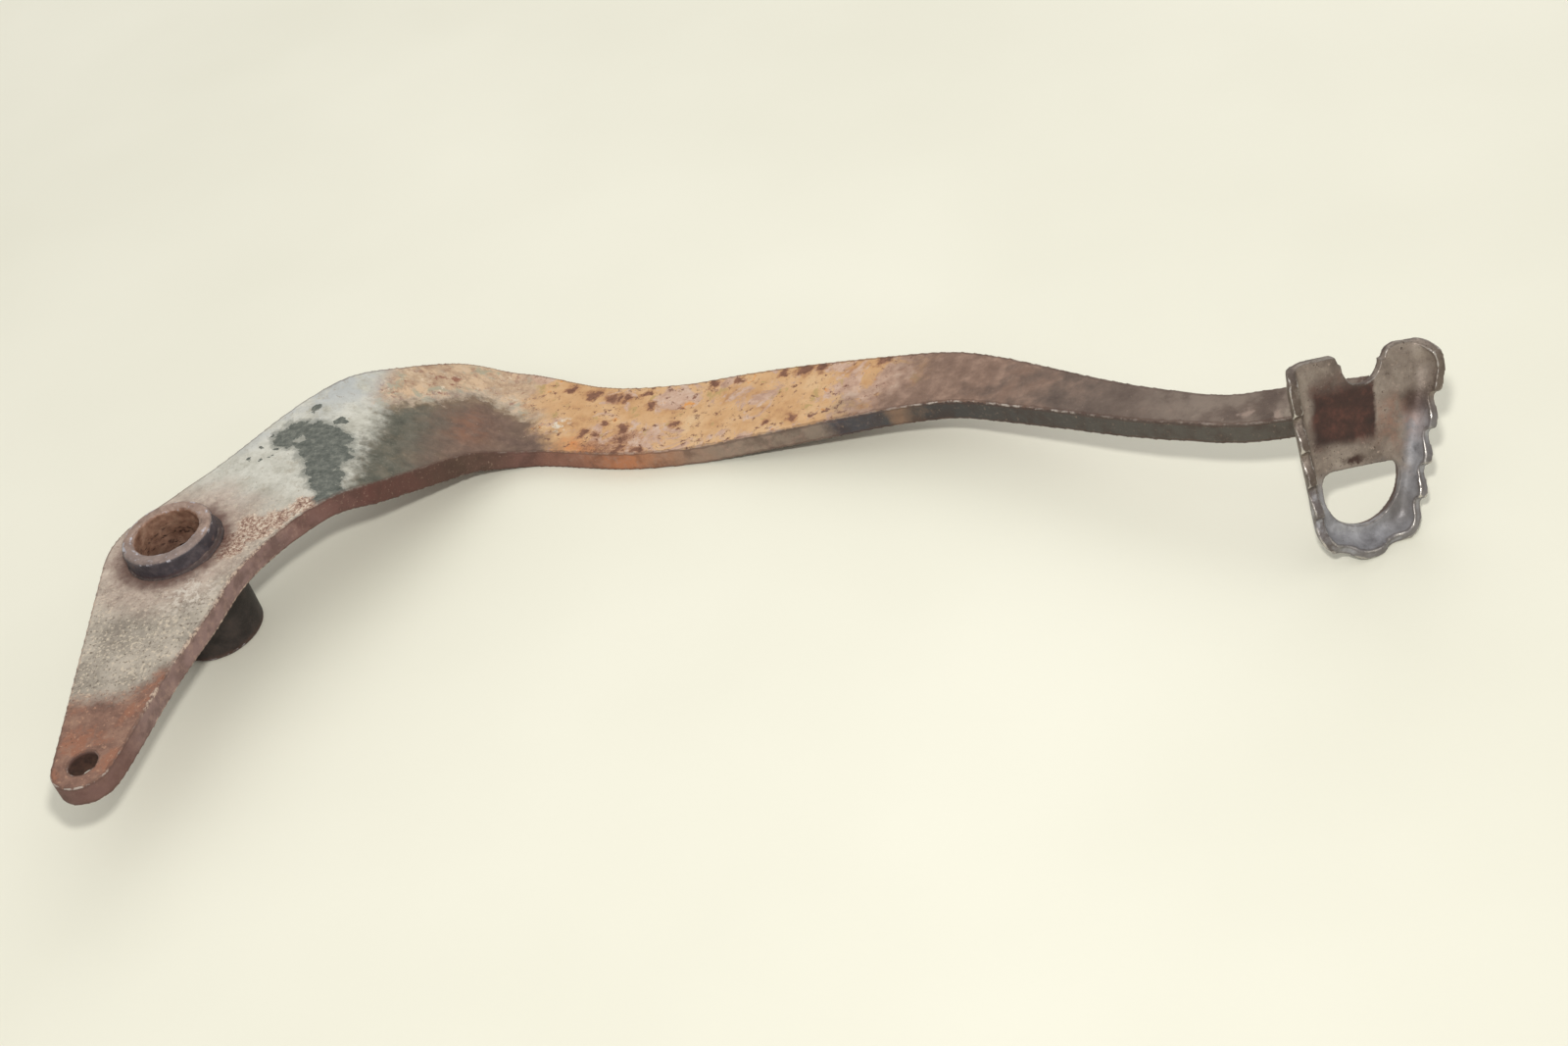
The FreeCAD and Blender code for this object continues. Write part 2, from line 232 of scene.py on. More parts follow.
class Tree:
    """A material's node tree, with short calls for the nodes used here."""

    def __init__(self, name):
        self.material = bpy.data.materials.new(name)
        self.material.use_nodes = True
        self.nodes = self.material.node_tree.nodes
        self.links = self.material.node_tree.links
        self.shader = self.nodes["Principled BSDF"]
        coords = self.nodes.new("ShaderNodeTexCoord")
        self.place = self.vector("MULTIPLY", coords.outputs["Object"], (1 / MM,) * 3)

    def put(self, socket, value):
        if isinstance(value, bpy.types.NodeSocket):
            self.links.new(value, socket)
        else:
            socket.default_value = value

    def vector(self, operation, a, b):
        node = self.nodes.new("ShaderNodeVectorMath")
        node.operation = operation
        self.put(node.inputs[0], a)
        self.put(node.inputs[1], b)
        return node.outputs["Value" if operation in ("DISTANCE", "DOT_PRODUCT") else 0]

    def math(self, operation, a, b=0.0):
        node = self.nodes.new("ShaderNodeMath")
        node.operation = operation
        self.put(node.inputs[0], a)
        self.put(node.inputs[1], b)
        return node.outputs[0]

    def times(self, a, b):
        return self.math("MULTIPLY", a, b)

    def plus(self, a, b):
        return self.math("ADD", a, b)

    def minus(self, a, b):
        return self.math("SUBTRACT", a, b)

    def flat(self, place):
        """The place seen from above, without its height."""
        return self.vector("MULTIPLY", place, (1, 1, 0))

    def split(self, vector):
        node = self.nodes.new("ShaderNodeSeparateXYZ")
        self.put(node.inputs[0], vector)
        return node.outputs[0], node.outputs[1], node.outputs[2]

    def noise(self, size, detail=6.0, rough=0.6, place=None, warp=0.0, colour=False):
        """Noise from 0 to 1 with features of the given size in millimetres."""
        node = self.nodes.new("ShaderNodeTexNoise")
        self.put(node.inputs["Vector"], place or self.place)
        node.inputs["Scale"].default_value = 1 / size
        node.inputs["Detail"].default_value = detail
        node.inputs["Roughness"].default_value = rough
        node.inputs["Distortion"].default_value = warp
        return node.outputs["Color" if colour else 0]

    def shifted(self, amount, size):
        """The place pushed about by noise, so that borders wander."""
        push = self.vector("SUBTRACT", self.noise(size, 5.0, 0.65, colour=True), (0.5,) * 3)
        return self.vector("ADD", self.place, self.vector("MULTIPLY", push, (amount * 2,) * 3))

    def step(self, value, low, high):
        """0 below low and 1 above high; falls instead where low is above high."""
        node = self.nodes.new("ShaderNodeMapRange")
        node.interpolation_type = "SMOOTHSTEP"
        self.put(node.inputs["Value"], value)
        node.inputs["From Min"].default_value = min(low, high)
        node.inputs["From Max"].default_value = max(low, high)
        node.inputs["To Min"].default_value = 0.0 if low < high else 1.0
        node.inputs["To Max"].default_value = 1.0 if low < high else 0.0
        return node.outputs["Result"]

    def patches(self, low, high, *form, **more):
        """Patches where the noise of the given form rises through low and high."""
        return self.step(self.noise(*form, **more), low, high)

    def near(self, place, centre, inner, outer):
        """1 within inner millimetres of the centre, 0 beyond outer."""
        return self.step(self.vector("DISTANCE", place, centre), outer, inner)

    def both(self, *masks):
        """1 where every mask is 1."""
        result = masks[0]
        for mask in masks[1:]:
            result = self.times(result, mask)
        return result

    def either(self, *masks):
        """1 where any mask is 1."""
        result = masks[0]
        for mask in masks[1:]:
            result = self.math("MAXIMUM", result, mask)
        return result

    def mix(self, mask, under, over):
        """Colours or numbers, under where the mask is 0 and over where it is 1."""
        kinds = [v for v in (under, over) if isinstance(v, bpy.types.NodeSocket)]
        colour = any(k.type == "RGBA" for k in kinds) or any(isinstance(v, tuple) for v in (under, over))
        node = self.nodes.new("ShaderNodeMix")
        node.data_type = "RGBA" if colour else "FLOAT"
        inputs = [s for s in node.inputs if s.enabled]
        self.put(inputs[0], mask)
        self.put(inputs[1], under)
        self.put(inputs[2], over)
        return [s for s in node.outputs if s.enabled][0]

    def ramp(self, value, low, high, stops):
        """Colours along a value that runs from low to high; stops are (value, colour)."""
        node = self.nodes.new("ShaderNodeValToRGB")
        spread = self.nodes.new("ShaderNodeMapRange")
        self.put(spread.inputs["Value"], value)
        spread.inputs["From Min"].default_value = low
        spread.inputs["From Max"].default_value = high
        self.put(node.inputs[0], spread.outputs["Result"])
        elements = node.color_ramp.elements
        while len(elements) < len(stops):
            elements.new(0.5)
        for element, (at, _) in zip(elements, stops):
            element.position = (at - low) / (high - low)
        for element, (_, colour) in zip(elements, stops):
            element.color = colour
        return node.outputs["Color"]

    def mottled(self, colours, size, rough=0.65):
        """A patchy colour: the listed colours from the noise's low to its high values."""
        stops = [(0.3 + 0.4 * i / (len(colours) - 1), linear(*c)) for i, c in enumerate(colours)]
        return self.ramp(self.noise(size, 8.0, rough), 0.0, 1.0, stops)

    def attribute(self, name, output="Fac"):
        node = self.nodes.new("ShaderNodeAttribute")
        node.attribute_name = name
        return node.outputs[output]

    def facing_up(self):
        """How far the surface faces up: 1 on top, 0 on a side, -1 underneath."""
        return self.split(self.nodes.new("ShaderNodeNewGeometry").outputs["True Normal"])[2]

    def bump(self, height, depth, under=None):
        """Bump of the given depth in millimetres over a height from 0 to 1."""
        node = self.nodes.new("ShaderNodeBump")
        node.inputs["Distance"].default_value = depth * MM
        self.put(node.inputs["Height"], height)
        if under is not None:
            self.put(node.inputs["Normal"], under)
        return node.outputs["Normal"]

    def finish(self, colour, rough, metal, normal):
        self.put(self.shader.inputs["Base Color"], colour)
        self.put(self.shader.inputs["Roughness"], rough)
        self.put(self.shader.inputs["Metallic"], metal)
        self.put(self.shader.inputs["Normal"], normal)
        return self.material


# ---------------------------------------------------------------- materials

def side_colour(tree, x, blotch):
    """The plate's cut edge: red-brown at the tail, orange mid-way, dark and rubbed towards the pad."""
    wander = tree.plus(x, tree.times(tree.minus(blotch, 0.5), 22.0))
    base = tree.ramp(wander, -30.0, 320.0, [
        (-30, linear(104, 76, 70)), (-8, linear(132, 108, 102)), (22, linear(128, 104, 100)),
        (40, linear(106, 76, 70)), (50, linear(90, 58, 52)), (66, linear(78, 60, 50)),
        (80, linear(112, 80, 72)), (98, linear(140, 98, 80)), (112, linear(172, 114, 80)),
        (124, linear(150, 114, 92)), (138, linear(136, 118, 104)), (164, linear(128, 114, 102)),
        (174, linear(70, 68, 74)), (185, linear(74, 72, 72)), (190, linear(132, 106, 88)),
        (197, linear(68, 66, 66)), (235, linear(80, 76, 72)), (320, linear(96, 90, 82)),
    ])
    streaks = tree.patches(0.42, 0.66, 5.0, 5.0, 0.6)
    base = tree.mix(tree.times(streaks, 0.45), base, linear(66, 48, 42))
    middle = tree.both(tree.step(x, 85.0, 100.0), tree.step(x, 190.0, 150.0))
    dusty = tree.either(tree.step(x, 42.0, 30.0), middle)
    pale = tree.both(tree.patches(0.46, 0.70, 2.2, 6.0, 0.7), dusty)
    base = tree.mix(tree.times(pale, 0.4), base, linear(158, 130, 116))
    grains = tree.patches(0.58, 0.68, 1.0, 5.0, 0.75)
    return tree.mix(tree.times(grains, 0.35), base, linear(172, 146, 128))


def arm_paint(tree, lx, ly, grain, blotch):
    """Pale paint between the boss and the first bend, dusty and speckled on the tail."""
    paint = tree.mottled([(160, 157, 146), (186, 184, 173), (204, 202, 192), (212, 210, 201)], 7.0, 0.75)
    bluish = tree.both(tree.step(tree.minus(ly, tree.times(lx, 0.5)), 26.0, 42.0),
                       tree.step(blotch, 0.40, 0.58))
    paint = tree.mix(tree.times(bluish, 0.7), paint, linear(176, 180, 182))
    smudge = tree.patches(0.54, 0.66, 3.0, 8.0, 0.75, warp=0.3)
    paint = tree.mix(tree.times(smudge, 0.6), paint, linear(162, 154, 138))
    paint = tree.mix(tree.times(tree.step(grain, 0.60, 0.68), 0.7), paint, linear(142, 130, 114))
    dusty = tree.mottled([(122, 112, 102), (152, 143, 131), (178, 168, 155), (196, 185, 169)], 13.0, 0.7)
    pits = tree.patches(0.57, 0.64, 1.0, 3.0, 0.65)
    dusty = tree.mix(tree.times(pits, 0.8), dusty, linear(98, 86, 75))
    grains = tree.step(tree.plus(grain, tree.times(blotch, 0.35)), 0.72, 0.80)
    dusty = tree.mix(tree.times(grains, 0.8), dusty, linear(206, 192, 172))
    towards_bend = tree.step(tree.plus(ly, tree.times(lx, 0.35)), 8.0, 34.0)
    return tree.mix(towards_bend, dusty, paint)


def boss_rust(tree, colour, loose, fray, from_axis):
    """Pinkish rust round the tube, a crumbly rust band along the near edge of the arm, and a dark ring at
    the tube's foot that is partly rust and partly painted shade.
    """
    pink = tree.mottled([(148, 124, 114), (188, 166, 153), (212, 195, 180)], 3.0)
    pink = tree.mix(tree.patches(0.56, 0.63, 1.2, 4.0, 0.7), pink, linear(206, 188, 170))
    flakes = tree.both(tree.near(loose, (10, -19, 31), 3.0, 11.0), tree.patches(0.50, 0.58, 1.6, 5.0, 0.7))
    colour = tree.mix(tree.times(tree.step(from_axis, 31.0, 15.0), 0.7), colour, pink)
    colour = tree.mix(flakes, colour, linear(204, 194, 182))
    crumbs = tree.noise(0.9, 5.0, 0.8)
    rust = tree.ramp(crumbs, 0.0, 1.0, [(0.36, linear(94, 68, 60)), (0.45, linear(138, 108, 94)),
                                        (0.52, linear(184, 158, 140)), (0.61, linear(218, 206, 188))])
    heaps = [(16, -3, 2.0, 8.0), (22, 3, 2.0, 9.0), (28, 6.5, 1.0, 7.5), (35, 9.5, 0.5, 6.0),
             (41, 12, 0.5, 4.0)]
    reach = tree.either(*[tree.near(loose, (x, y, 31), inner, outer) for x, y, inner, outer in heaps])
    band = tree.step(tree.plus(reach, tree.times(crumbs, 1.5)), 0.95, 1.25)
    colour = tree.mix(band, colour, rust)
    # Dark ring on the plate round the tube's foot: partly rust, partly painted shade in the corner between
    # plate and tube
    close = tree.vector("DISTANCE", tree.flat(fray), (0, 0, 0))
    return tree.mix(tree.times(tree.step(close, 18.5, 13.5), 0.85), colour, linear(96, 68, 60))


def bare_patches(tree, colour, fray):
    """A ragged dark bare patch on the pale paint before the first bend, and a few specks."""
    flat = tree.flat(fray)
    mass = [(23.5, 41.5, 8.5), (29.0, 40.0, 9.0), (34.0, 35.0, 11.0), (37.0, 31.0, 9.0),
            (35.5, 26.0, 8.0), (38.0, 19.5, 7.0), (40.5, 13.5, 6.0)]
    heap = tree.either(*[tree.near(flat, (x, y, 0), r * 0.15, r) for x, y, r in mass])
    ragged = tree.plus(heap, tree.times(tree.noise(3.6, 9.0, 0.8), 1.1))
    island = tree.times(tree.near(flat, (25.5, 39.5, 0), 0.5, 3.0), 0.7)
    mask = tree.step(tree.minus(ragged, island), 0.90, 0.99)
    beside = tree.both(tree.near(flat, (44, 33, 0), 3.0, 12.0), tree.patches(0.44, 0.60, 3.0, 7.0, 0.75))
    halo = tree.times(tree.either(tree.step(ragged, 0.58, 0.86), beside), 0.55)
    specks = [(27.2, 52.4, 2.0), (36.0, 45.5, 2.0), (14.5, 38.0, 1.0), (12.0, 33.5, 0.9),
              (17.0, 42.0, 0.9), (15.5, 33.0, 0.7), (19.5, 36.0, 0.8), (18.5, 33.5, 0.6)]
    small = tree.either(*[tree.near(flat, (x, y, 0), r * 0.5, r * 1.15) for x, y, r in specks])
    bare = tree.mottled([(68, 72, 67), (98, 101, 95), (136, 137, 128)], 2.2, 0.75)
    return tree.mix(tree.either(mask, halo, tree.step(small, 0.3, 0.6)), colour, bare)


def past_the_bend(tree, colour, lx, fray):
    """Grey-green turning brown past the first bend, under a band of tan and cream rust."""
    from_left = tree.vector("DOT_PRODUCT", tree.vector("SUBTRACT", fray, (44, 57, 0)), (-0.634, 0.773, 0))
    from_right = tree.vector("DOT_PRODUCT", tree.vector("SUBTRACT", fray, (66, 75, 0)), (0.482, 0.876, 0))
    over = tree.either(tree.step(from_left, -7.0, 6.0), tree.step(from_right, -8.0, 6.0))
    streaky = tree.noise(5.0, 8.0, 0.75, place=tree.vector("MULTIPLY", fray, (0.6, 1.2, 1.0)))
    wander = tree.times(tree.minus(streaky, 0.5), 1.1)
    field = tree.plus(over, wander)
    clouds = tree.times(tree.minus(tree.noise(2.6, 7.0, 0.7), 0.5), 1.3)
    leaving = tree.step(field, -0.1, 0.6)
    over = tree.step(tree.plus(field, clouds), 0.25, 1.05)
    crumbs = tree.times(tree.noise(3.0, 6.0, 0.65), 9.0)
    begins = tree.step(tree.plus(tree.split(fray)[0], crumbs), 45.5, 52.5)
    green = tree.mottled([(76, 76, 68), (94, 93, 83), (112, 108, 97)], 3.4)
    green = tree.mix(tree.patches(0.56, 0.70, 1.1, 5.0, 0.75), green, linear(128, 122, 110))
    brown = tree.mottled([(92, 74, 66), (112, 91, 80), (132, 108, 94)], 4.0)
    warm = tree.both(tree.near(fray, (63, 58, 14), 3.0, 14.0), tree.step(streaky, 0.36, 0.66))
    brown = tree.mix(tree.times(warm, 0.75), brown, linear(134, 88, 68))
    brown = tree.mix(tree.patches(0.62, 0.74, 1.3, 5.0, 0.7), brown, linear(168, 142, 122))
    dark = tree.mix(tree.step(lx, 50.0, 66.0), green, brown)
    olive = tree.mottled([(104, 88, 70), (134, 114, 92), (158, 140, 114)], 3.0)
    dark = tree.mix(tree.times(leaving, 0.85), dark, olive)
    colour = tree.mix(tree.both(begins, tree.minus(1.0, over)), colour, dark)
    tan = tree.mottled([(134, 104, 88), (168, 140, 116), (194, 168, 140), (214, 196, 172)], 6.0, 0.78)
    tan = tree.mix(tree.patches(0.48, 0.60, 7.0, 9.0, 0.8, warp=0.3), tan, linear(204, 176, 146))
    tan = tree.mix(tree.patches(0.53, 0.60, 9.0, 8.0, 0.7, warp=0.6), tan, linear(164, 156, 134))
    tan = tree.mix(tree.patches(0.53, 0.63, 4.0, 8.0, 0.75), tan, linear(142, 98, 80))
    tan = tree.mix(tree.patches(0.62, 0.70, 3.0, 6.0, 0.7), tan, linear(222, 206, 184))
    return tree.mix(tree.both(over, tree.step(lx, 38.0, 47.0)), colour, tan)


def ochre_rust(tree, fray, blotch):
    """Ochre, tan and rosy rust with small ragged brown spots, thickest along the edges."""
    ochre = tree.mottled([(172, 128, 92), (198, 156, 112), (208, 170, 128), (214, 184, 146)], 9.0)
    rosy = tree.mottled([(164, 130, 112), (194, 162, 142), (208, 184, 166)], 4.0)
    colour = tree.mix(tree.patches(0.50, 0.56, 13.0, 8.0, 0.7, warp=0.5), ochre, rosy)
    olive = tree.patches(0.58, 0.65, 6.0, 7.0, 0.7, warp=0.3)
    colour = tree.mix(olive, colour, linear(180, 152, 104))
    colour = tree.mix(tree.patches(0.60, 0.68, 4.5, 7.0, 0.7), colour, linear(212, 148, 82))
    flat = tree.flat(fray)
    orange = tree.either(tree.near(flat, (93, 51, 0), 2.0, 6.5), tree.near(flat, (98, 48, 0), 1.0, 5.0))
    colour = tree.mix(tree.both(orange, tree.step(blotch, 0.36, 0.6)), colour, linear(198, 128, 78))
    flecks = tree.both(tree.near(flat, (89, 61, 0), 1.0, 4.5), tree.patches(0.48, 0.56, 1.8, 4.0, 0.6))
    colour = tree.mix(flecks, colour, linear(222, 212, 194))
    spots = [(90, 77, 2.2), (98, 73, 3.0), (104, 70, 2.8), (108, 69, 2.0), (114, 70, 1.8),
             (116, 64, 2.0), (134, 68, 2.4), (142, 66, 1.6), (103, 59, 1.7), (109, 55, 2.5),
             (97, 56, 2.4), (101, 54, 1.6), (124, 54, 1.9), (152, 44, 1.8), (159, 43, 2.2),
             (156, 63, 1.8), (162, 61.5, 3.2), (167, 60, 2.2), (185, 55, 2.6), (189, 35, 2.8),
             (108, 46, 2.4), (114, 45, 2.0)]
    marks = tree.either(*[tree.near(flat, (x, y, 0), 0.0, r * 1.45) for x, y, r in spots])
    near_edge = tree.both(tree.near(flat, (106, 45, 0), 4.0, 16.0), tree.step(blotch, 0.40, 0.52))
    crumbs = tree.times(tree.noise(2.4, 9.0, 0.8), 1.9)
    heap = tree.plus(tree.either(marks, tree.times(near_edge, 0.6)), crumbs)
    colour = tree.mix(tree.times(tree.step(heap, 1.04, 1.38), 0.7), colour, linear(166, 120, 86))
    specks = tree.step(tree.plus(tree.noise(2.2, 8.0, 0.75), tree.times(blotch, 0.25)),
                       0.68, 0.76)
    dark = tree.mottled([(100, 68, 54), (124, 86, 68), (146, 106, 84)], 2.0)
    return tree.mix(tree.either(specks, tree.step(heap, 1.36, 1.66)), colour, dark)


def bare_steel(tree, lx, ly, loose, blotch, grain):
    """Bare dark steel towards the pad, rosy tan where the rust ends, rubbed bright before the joint."""
    steel = tree.mottled([(88, 74, 67), (106, 91, 82), (122, 106, 96)], 7.0)
    steel = tree.mix(tree.patches(0.60, 0.74, 1.2, 5.0, 0.7), steel, linear(138, 120, 108))
    rosy = tree.mottled([(120, 94, 80), (142, 114, 98), (172, 142, 124)], 4.0, 0.6)
    along = tree.minus(lx, tree.times(ly, 0.92))
    streaks = tree.times(tree.noise(7.0, 5.0, 0.6), 1.6)
    fading = tree.plus(tree.step(along, 250.0, 150.0), streaks)
    steel = tree.mix(tree.times(tree.step(fading, 0.95, 1.65), 0.8), steel, rosy)
    flat = tree.flat(loose)
    lighter = tree.both(tree.step(lx, 245.0, 268.0), tree.step(blotch, 0.36, 0.56))
    steel = tree.mix(tree.times(lighter, 0.6), steel, linear(146, 132, 120))
    pale_spots = tree.either(tree.near(flat, (276, -4, 0), 0.8, 2.6),
                             tree.near(flat, (284, -8, 0), 0.5, 2.0))
    steel = tree.mix(tree.times(pale_spots, 0.7), steel, linear(168, 148, 136))
    rubbed = tree.both(tree.near(flat, (293, -14, 0), 4.0, 13.0), tree.step(grain, 0.30, 0.6))
    return tree.mix(tree.times(rubbed, 0.7), steel, linear(172, 160, 146))


def arm_material():
    """Old paint, rust and bare dark steel, laid out along the arm as years of use left them, with painted
    highlights on its edges and painted shade round the tube's foot.
    """
    tree = Tree("arm_worn_steel")
    x, y, z = tree.split(tree.place)
    loose = tree.shifted(6.0, 9.0)
    lx, ly = tree.split(loose)[:2]
    fray = tree.shifted(3.2, 4.0)
    fx, fy = tree.split(fray)[:2]
    grain = tree.noise(1.1, 4.0, 0.75)
    speck = tree.noise(0.55, 3.0, 0.8)
    blotch = tree.noise(9.0, 8.0, 0.62)
    from_axis = tree.vector("DISTANCE", tree.flat(loose), (0, 0, 0))

    colour = arm_paint(tree, lx, ly, grain, blotch)
    colour = boss_rust(tree, colour, loose, fray, from_axis)
    colour = bare_patches(tree, colour, fray)
    colour = past_the_bend(tree, colour, lx, fray)
    start = tree.plus(fx, tree.times(fy, 0.365))
    start = tree.step(tree.plus(start, tree.times(blotch, 24.0)), 113.5, 123.5)
    colour = tree.mix(start, colour, ochre_rust(tree, fray, blotch))
    ends = tree.minus(lx, tree.times(ly, 0.92))
    ends = tree.plus(ends, tree.times(blotch, 44.0))
    beyond = tree.step(ends, 150.0, 182.0)
    colour = tree.mix(beyond, colour, bare_steel(tree, lx, ly, loose, blotch, grain))

    # The rusty tail tip, dark inside its hole
    rust = tree.mottled([(104, 78, 68), (132, 100, 86), (154, 122, 104)], 5.0)
    rust = tree.mix(tree.times(tree.patches(0.50, 0.62, 8.0, 7.0, 0.7), 0.8), rust,
                    linear(150, 102, 80))
    rust = tree.mix(tree.step(grain, 0.56, 0.66), rust, linear(182, 142, 118))
    rust = tree.mix(tree.step(speck, 0.60, 0.68), rust, linear(82, 58, 50))
    border = tree.plus(fy, tree.times(tree.step(fx, 2.0, 22.0), -17.0))
    tip = tree.step(tree.plus(border, tree.times(grain, -9.0)), -55.0, -63.5)
    colour = tree.mix(tip, colour, rust)

    # The underside is evenly rusty, the cut edges have their own colours
    facing_up = tree.facing_up()
    under = tree.mottled([(70, 48, 40), (104, 74, 60), (132, 98, 80)], 6.0)
    under = tree.mix(tree.step(blotch, 0.52, 0.62), under, linear(82, 76, 71))
    colour = tree.mix(tree.step(facing_up, -0.4, -0.75), colour, under)
    side = tree.step(tree.math("ABSOLUTE", facing_up), 0.72, 0.5)
    sides = side_colour(tree, x, blotch)
    sides = tree.mix(tree.times(tree.step(ly, -58.0, -76.0), 0.6), sides, linear(92, 58, 50))
    colour = tree.mix(side, colour, sides)
    from_hole = tree.vector("DISTANCE", tree.flat(tree.place), TAIL_HOLE)
    in_hole = tree.both(tree.step(from_hole, TAIL_HOLE_RADIUS + 0.65, TAIL_HOLE_RADIUS - 0.05),
                        tree.step(z, PLATE_TOP - 0.1, PLATE_TOP - 1.1))
    colour = tree.mix(in_hole, colour, tree.mottled([(48, 32, 27), (84, 58, 48)], 2.0))

    # Rubbed edges show metal where the paint and rust are thin; the pale and bright edge lines are partly
    # painted highlights
    edge = tree.attribute("edge")
    worn_edge = tree.step(tree.plus(edge, tree.times(grain, 0.10)), 0.14, 0.22)
    colour = tree.mix(tree.times(worn_edge, 0.45), colour, linear(84, 62, 54))
    # Pale line along the tail's top edge: rubbed paint and dust, with a painted glint at its tip
    tail_edge_dust_and_glint = tree.both(worn_edge, tree.step(tree.math("ABSOLUTE", tree.plus(y, 32.0)), 34.0, 24.0),
                          tree.step(x, 34.0, 26.0), tree.step(from_axis, 17.0, 21.0),
                          tree.step(grain, 0.44, 0.56), tree.step(blotch, 0.36, 0.54))
    colour = tree.mix(tree.times(tail_edge_dust_and_glint, 0.75), colour, linear(200, 178, 160))
    # Bright edge metal: partly rubbed steel, partly painted highlight
    rub_and_glint = tree.step(tree.plus(edge, tree.times(grain, 0.16)), 0.29, 0.40)
    mid_arm = tree.both(tree.step(lx, 180.0, 205.0), tree.plus(tree.step(lx, 245.0, 225.0), 0.15))
    where = tree.either(mid_arm, tree.step(ly, -72.0, -82.0))
    bright = tree.both(rub_and_glint, tree.plus(tree.times(where, 0.6), 0.12),
                       tree.patches(0.46, 0.60, 3.2, 5.0, 0.7))
    colour = tree.mix(bright, colour, linear(206, 196, 186))

    rusty = tree.either(start, tree.step(from_axis, 40.0, 15.0), tip)
    rough = tree.mix(beyond, 0.82, 0.58)
    rough = tree.mix(bright, rough, 0.34)
    metal = tree.mix(bright, tree.times(beyond, 0.3), 0.85)
    coarse = tree.bump(blotch, 0.25)
    middle = tree.bump(tree.noise(1.7, 6.0, 0.7), 0.24, coarse)
    fine = tree.bump(speck, 0.10, middle)
    tree.put(fine.node.inputs["Strength"], tree.mix(rusty, 0.5, 1.0))
    tree.shader.inputs["Specular IOR Level"].default_value = 0.32
    return tree.finish(colour, rough, metal, fine)


def tube_material():
    """Turned tube: purple-grey outside above the plate, brown scaly bore, near black below from dark paint
    and painted shade, with painted glints on its edges.
    """
    tree = Tree("tube_aged_steel")
    y, z = tree.split(tree.place)[1:]
    radius = tree.vector("DISTANCE", tree.flat(tree.place), (0, 0, 0))
    flaky = tree.noise(1.5, 7.0, 0.7)
    blotch = tree.noise(5.0, 7.0, 0.6)
    grain = tree.noise(0.6, 3.0, 0.7)

    outside = tree.mottled([(48, 45, 51), (66, 61, 67), (92, 84, 88)], 4.0)
    outside = tree.mix(tree.step(blotch, 0.58, 0.70), outside, linear(100, 80, 76))
    # Below the plate: dark paint and grease, darkened further as painted shade of the plate above
    low = tree.mottled([(30, 25, 23), (42, 34, 31), (58, 45, 40)], 5.0)
    colour = tree.mix(tree.step(z, PLATE_TOP - 3, PLATE_UNDER), outside, low)
    foot_rust = tree.both(tree.step(tree.plus(z, tree.times(flaky, 3.0)), 4.6, 2.2),
                          tree.step(z, 3.0, 1.0))
    colour = tree.mix(foot_rust, colour, linear(74, 52, 44))
    # Dark band on the tube just above the plate: partly rust crust, partly painted shade in the corner
    collar = tree.step(tree.plus(z, tree.times(flaky, 2.2)), PLATE_TOP + 2.6, PLATE_TOP + 1.2)
    above = tree.step(z, PLATE_UNDER, PLATE_TOP)
    colour = tree.mix(tree.both(collar, above), colour, linear(80, 62, 62))

    bore = tree.mottled([(112, 80, 65), (148, 112, 92), (172, 138, 117)], 3.0)
    bore = tree.mix(tree.times(tree.step(z, 33.0, 20.0), 0.55), bore, linear(88, 70, 66))
    scale = tree.noise(3.2, 8.0, 0.75, place=tree.vector("MULTIPLY", tree.place, (1, 1, 2.4)))
    scale = tree.both(tree.step(scale, 0.53, 0.60), tree.step(z, 35.0, 30.0))
    bore = tree.mix(tree.times(scale, 0.9), bore, linear(48, 30, 26))
    colour = tree.mix(tree.step(radius, BORE_RADIUS + 1.0, BORE_RADIUS + 0.3), colour, bore)

    facing_up = tree.facing_up()
    rim = tree.both(tree.step(tree.math("ABSOLUTE", facing_up), 0.45, 0.8),
                    tree.step(z, PLATE_TOP, TUBE_TOP - 1.5))
    rim_colour = tree.mottled([(122, 100, 90), (152, 128, 115), (176, 152, 139)], 2.5)
    front = tree.step(tree.plus(y, tree.times(blotch, 6.0)), 4.0, -6.0)
    rim_colour = tree.mix(tree.times(front, 0.6), rim_colour, linear(126, 115, 113))
    colour = tree.mix(rim, colour, rim_colour)

    # Rubbed bare metal on the edges, coloured bluish-white as painted glints
    edge = tree.attribute("edge")
    rub_and_glint = tree.both(tree.step(tree.plus(edge, tree.times(grain, 0.10)), 0.13, 0.21),
                    tree.patches(0.53, 0.62, 3.0, 4.0, 0.6))
    colour = tree.mix(rub_and_glint, colour, linear(196, 194, 202))
    rough = tree.mix(rub_and_glint, tree.mix(blotch, 0.44, 0.66), 0.28)
    metal = tree.mix(rub_and_glint, tree.mix(tree.step(blotch, 0.4, 0.6), 0.3, 0.08), 0.9)
    bumped = tree.bump(grain, 0.06, tree.bump(flaky, 0.22, tree.bump(blotch, 0.2)))
    return tree.finish(colour, rough, metal, bumped)


